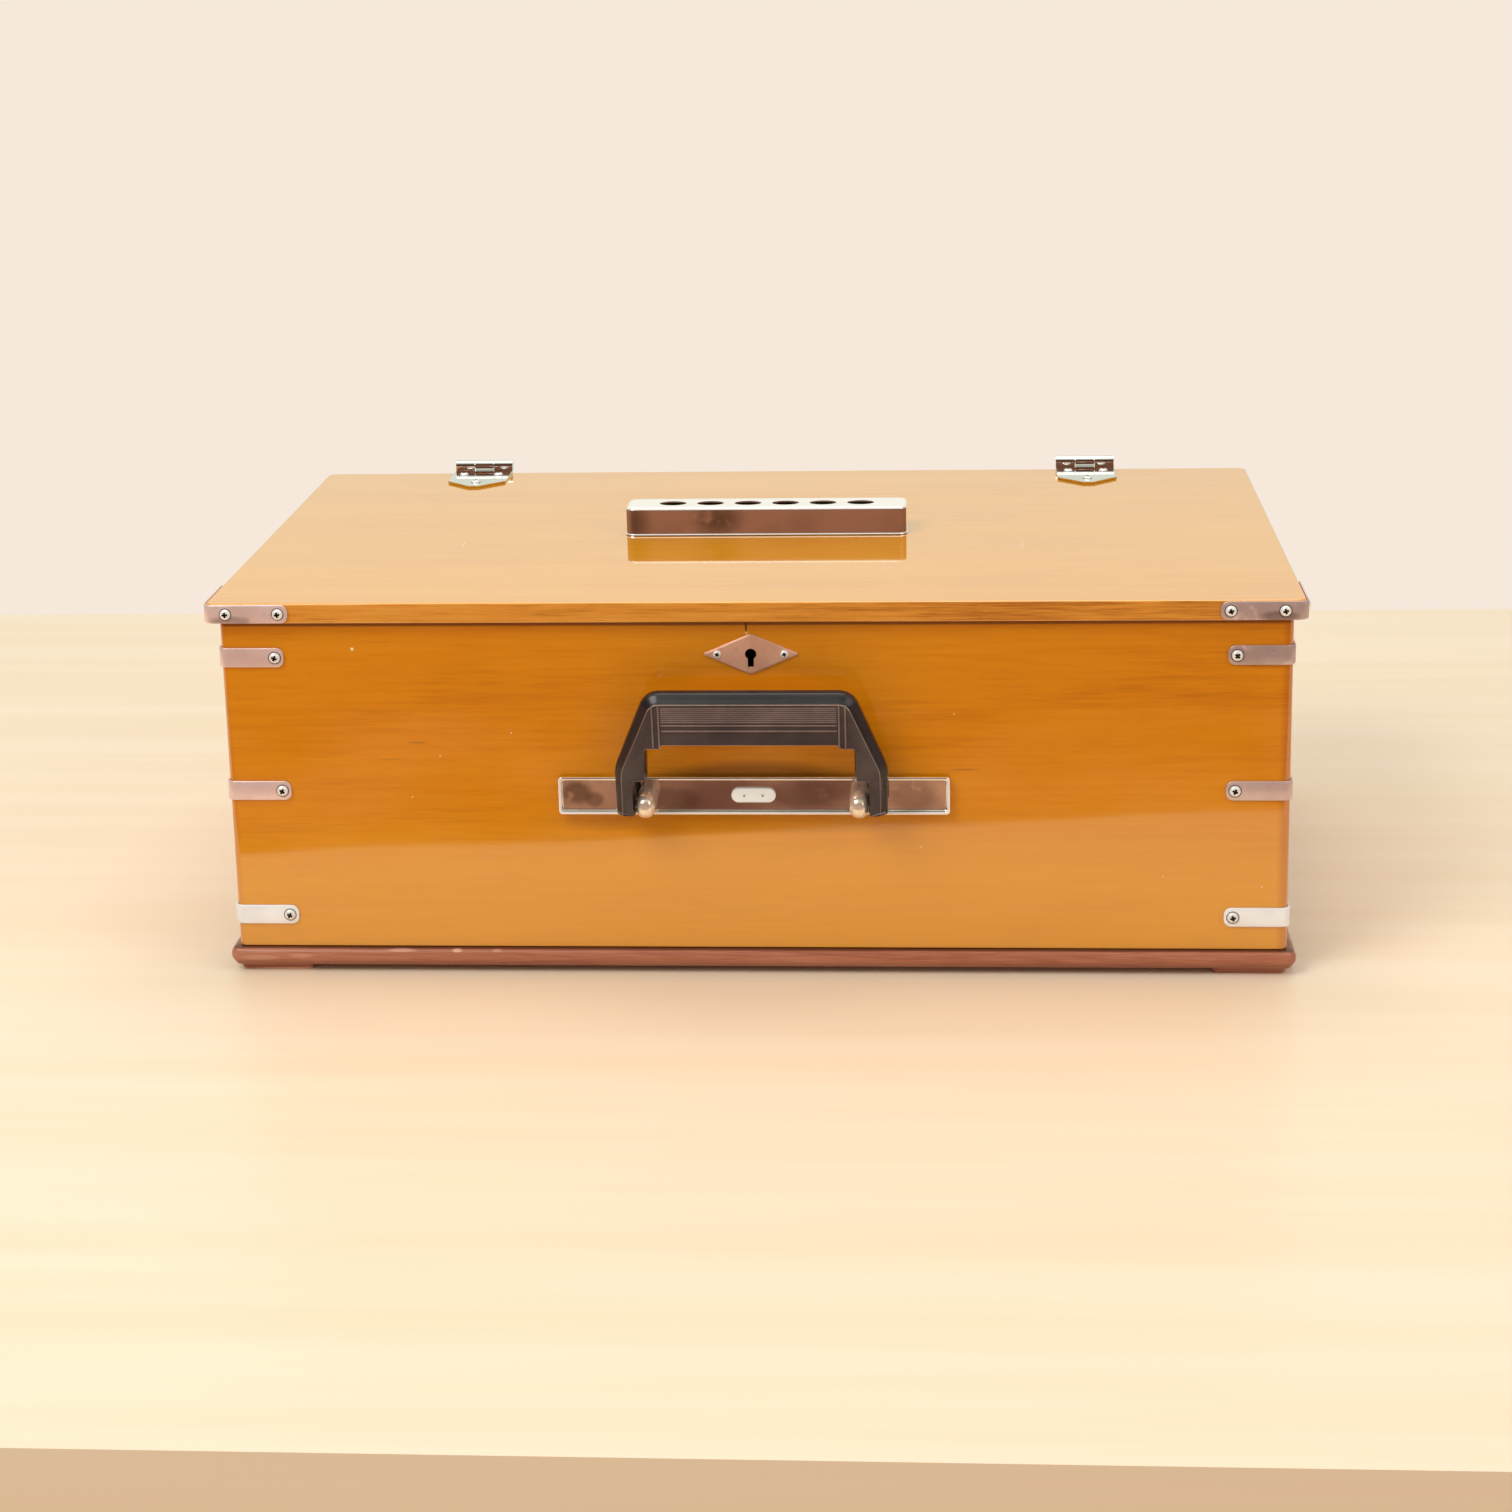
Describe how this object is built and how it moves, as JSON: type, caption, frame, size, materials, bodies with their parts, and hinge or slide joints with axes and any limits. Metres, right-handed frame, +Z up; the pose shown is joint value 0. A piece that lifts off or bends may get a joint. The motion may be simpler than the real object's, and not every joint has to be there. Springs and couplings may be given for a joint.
{
  "type": "indian harmonium",
  "caption": "Portable hand harmonium in a lacquered wooden case: hinged lid over the keyboard, hand bellows at the back, carry handle and lock in front.",
  "frame": {"origin": "on the table, under the middle of the whole object's bounding box", "axes": "+X along the keyboard towards its high notes, +Y towards the bellows at the back, +Z up"},
  "size_m": [0.6126, 0.3736, 0.2371],
  "materials": {
    "case_wood": "clear gloss lacquer over amber-stained veneer",
    "skirt_wood": "satin dark reddish-brown stain",
    "inner_wood": "bare sanded softwood and plywood",
    "white_key": "polished ivory-white plates",
    "black_key": "polished black",
    "black_plastic": "moulded satin black",
    "chrome_trim": "bright plated",
    "satin_steel": "satin, slightly warm",
    "brass": "satin",
    "spring_steel": "plain wire",
    "bellows_cloth": "cloth over card",
    "flap_leather": "soft undyed"
  },
  "bodies": {
    "case": {"base_plinth": "skirt_wood", "bottom_board": "inner_wood", "front_board": "case_wood", "left_end_board": "case_wood", "right_end_board": "case_wood", "rear_rail": "case_wood", "corner_strap_left_top": "satin_steel", "corner_strap_left_middle": "satin_steel", "corner_strap_left_bottom": "satin_steel", "corner_strap_right_top": "satin_steel", "corner_strap_right_middle": "satin_steel", "corner_strap_right_bottom": "satin_steel", "cheek_left": "case_wood", "cheek_right": "case_wood", "hinge_case_leaf_left": "chrome_trim", "hinge_case_leaf_right": "chrome_trim", "keyhole_escutcheon": "satin_steel", "lock_case": "brass", "handle_plate": "chrome_trim", "handle_badge": "chrome_trim", "keyboard_frame": "white_key", "key_slip": "case_wood", "deck_panel": "case_wood", "reed_board": "inner_wood", "wind_chest": "inner_wood", "reservoir_folds": "bellows_cloth", "reservoir_spring": "spring_steel", "bellows_frame": "inner_wood", "bellows_folds": "bellows_cloth", "bellows_hinge_fixed": "brass"},
    "lid": {"lid_panel": "case_wood", "lid_strap_left": "satin_steel", "lid_strap_right": "satin_steel", "lid_vent_cover": "chrome_trim", "hinge_lid_leaf_left": "chrome_trim", "hinge_lid_leaf_right": "chrome_trim", "lock_staple": "brass"},
    "handle": {"carry_handle": "black_plastic"},
    "bolt": {"lock_bolt": "brass"},
    "bellows": {"bellows_board": "case_wood", "intake_flap": "flap_leather", "bellows_hinge_moving": "brass"},
    "catch": {"bellows_catch": "brass"},
    "reservoir": {"reservoir_board": "inner_wood"},
    "stop_1": {"stop_knob_1": "black_plastic"},
    "stop_2": {"stop_knob_2": "black_plastic"},
    "stop_3": {"stop_knob_3": "black_plastic"},
    "stop_4": {"stop_knob_4": "black_plastic"},
    "c": {"key_c": "white_key"},
    "c_sharp": {"key_c_sharp": "black_key"},
    "d": {"key_d": "white_key"},
    "d_sharp": {"key_d_sharp": "black_key"},
    "e": {"key_e": "white_key"},
    "f": {"key_f": "white_key"},
    "f_sharp": {"key_f_sharp": "black_key"},
    "g": {"key_g": "white_key"},
    "g_sharp": {"key_g_sharp": "black_key"},
    "a": {"key_a": "white_key"},
    "a_sharp": {"key_a_sharp": "black_key"},
    "b": {"key_b": "white_key"}
  },
  "joints": [
    {"name": "lid_hinge", "type": "hinge", "parent": "case", "child": "lid", "pos_m": [0, 0.18311, 0.22385], "axis": [-1, 0, 0], "range_deg": [0, 105]},
    {"name": "handle_swing", "type": "hinge", "parent": "case", "child": "handle", "pos_m": [0, -0.16974, 0.1049], "axis": [1, 0, 0], "range_deg": [-8, 160]},
    {"name": "bolt_slide", "type": "slide", "parent": "case", "child": "bolt", "axis": [0, 0, 1], "range_m": [0, 0.006]},
    {"name": "bellows_hinge", "type": "hinge", "parent": "case", "child": "bellows", "pos_m": [0, 0.18186, 0.01485], "axis": [-1, 0, 0], "range_deg": [0, 28], "deforming": ["bellows_folds"]},
    {"name": "catch_turn", "type": "hinge", "parent": "case", "child": "catch", "pos_m": [0, 0.18, 0.1754], "axis": [0, 1, 0], "range_deg": [0, 90]},
    {"name": "reservoir_hinge", "type": "hinge", "parent": "case", "child": "reservoir", "pos_m": [0, 0.06706, 0.0949], "axis": [1, 0, 0], "range_deg": [0, 10], "stiffness_Nm_per_rad": 6, "springref_deg": -6.88, "deforming": ["reservoir_folds", "reservoir_spring"]},
    {"name": "stop_1_slide", "type": "slide", "parent": "case", "child": "stop_1", "axis": [0, -1, 0], "range_m": [0, 0.014]},
    {"name": "stop_2_slide", "type": "slide", "parent": "case", "child": "stop_2", "axis": [0, -1, 0], "range_m": [0, 0.014]},
    {"name": "stop_3_slide", "type": "slide", "parent": "case", "child": "stop_3", "axis": [0, -1, 0], "range_m": [0, 0.014]},
    {"name": "stop_4_slide", "type": "slide", "parent": "case", "child": "stop_4", "axis": [0, -1, 0], "range_m": [0, 0.014]},
    {"name": "c_key", "type": "hinge", "parent": "case", "child": "c", "pos_m": [-0.11, -0.01594, 0.17985], "axis": [1, 0, 0], "range_deg": [0, 4.4], "stiffness_Nm_per_rad": 0.15, "springref_deg": -11.46},
    {"name": "c_sharp_key", "type": "hinge", "parent": "case", "child": "c_sharp", "pos_m": [-0.1012, -0.01594, 0.17985], "axis": [1, 0, 0], "range_deg": [0, 4.4], "stiffness_Nm_per_rad": 0.15, "springref_deg": -11.46},
    {"name": "d_key", "type": "hinge", "parent": "case", "child": "d", "pos_m": [-0.088, -0.01594, 0.17985], "axis": [1, 0, 0], "range_deg": [0, 4.4], "stiffness_Nm_per_rad": 0.15, "springref_deg": -11.46},
    {"name": "d_sharp_key", "type": "hinge", "parent": "case", "child": "d_sharp", "pos_m": [-0.0748, -0.01594, 0.17985], "axis": [1, 0, 0], "range_deg": [0, 4.4], "stiffness_Nm_per_rad": 0.15, "springref_deg": -11.46},
    {"name": "e_key", "type": "hinge", "parent": "case", "child": "e", "pos_m": [-0.066, -0.01594, 0.17985], "axis": [1, 0, 0], "range_deg": [0, 4.4], "stiffness_Nm_per_rad": 0.15, "springref_deg": -11.46},
    {"name": "f_key", "type": "hinge", "parent": "case", "child": "f", "pos_m": [-0.044, -0.01594, 0.17985], "axis": [1, 0, 0], "range_deg": [0, 4.4], "stiffness_Nm_per_rad": 0.15, "springref_deg": -11.46},
    {"name": "f_sharp_key", "type": "hinge", "parent": "case", "child": "f_sharp", "pos_m": [-0.0361, -0.01594, 0.17985], "axis": [1, 0, 0], "range_deg": [0, 4.4], "stiffness_Nm_per_rad": 0.15, "springref_deg": -11.46},
    {"name": "g_key", "type": "hinge", "parent": "case", "child": "g", "pos_m": [-0.022, -0.01594, 0.17985], "axis": [1, 0, 0], "range_deg": [0, 4.4], "stiffness_Nm_per_rad": 0.15, "springref_deg": -11.46},
    {"name": "g_sharp_key", "type": "hinge", "parent": "case", "child": "g_sharp", "pos_m": [-0.011, -0.01594, 0.17985], "axis": [1, 0, 0], "range_deg": [0, 4.4], "stiffness_Nm_per_rad": 0.15, "springref_deg": -11.46},
    {"name": "a_key", "type": "hinge", "parent": "case", "child": "a", "pos_m": [0, -0.01594, 0.17985], "axis": [1, 0, 0], "range_deg": [0, 4.4], "stiffness_Nm_per_rad": 0.15, "springref_deg": -11.46},
    {"name": "a_sharp_key", "type": "hinge", "parent": "case", "child": "a_sharp", "pos_m": [0.0141, -0.01594, 0.17985], "axis": [1, 0, 0], "range_deg": [0, 4.4], "stiffness_Nm_per_rad": 0.15, "springref_deg": -11.46},
    {"name": "b_key", "type": "hinge", "parent": "case", "child": "b", "pos_m": [0.022, -0.01594, 0.17985], "axis": [1, 0, 0], "range_deg": [0, 4.4], "stiffness_Nm_per_rad": 0.15, "springref_deg": -11.46}
  ]
}
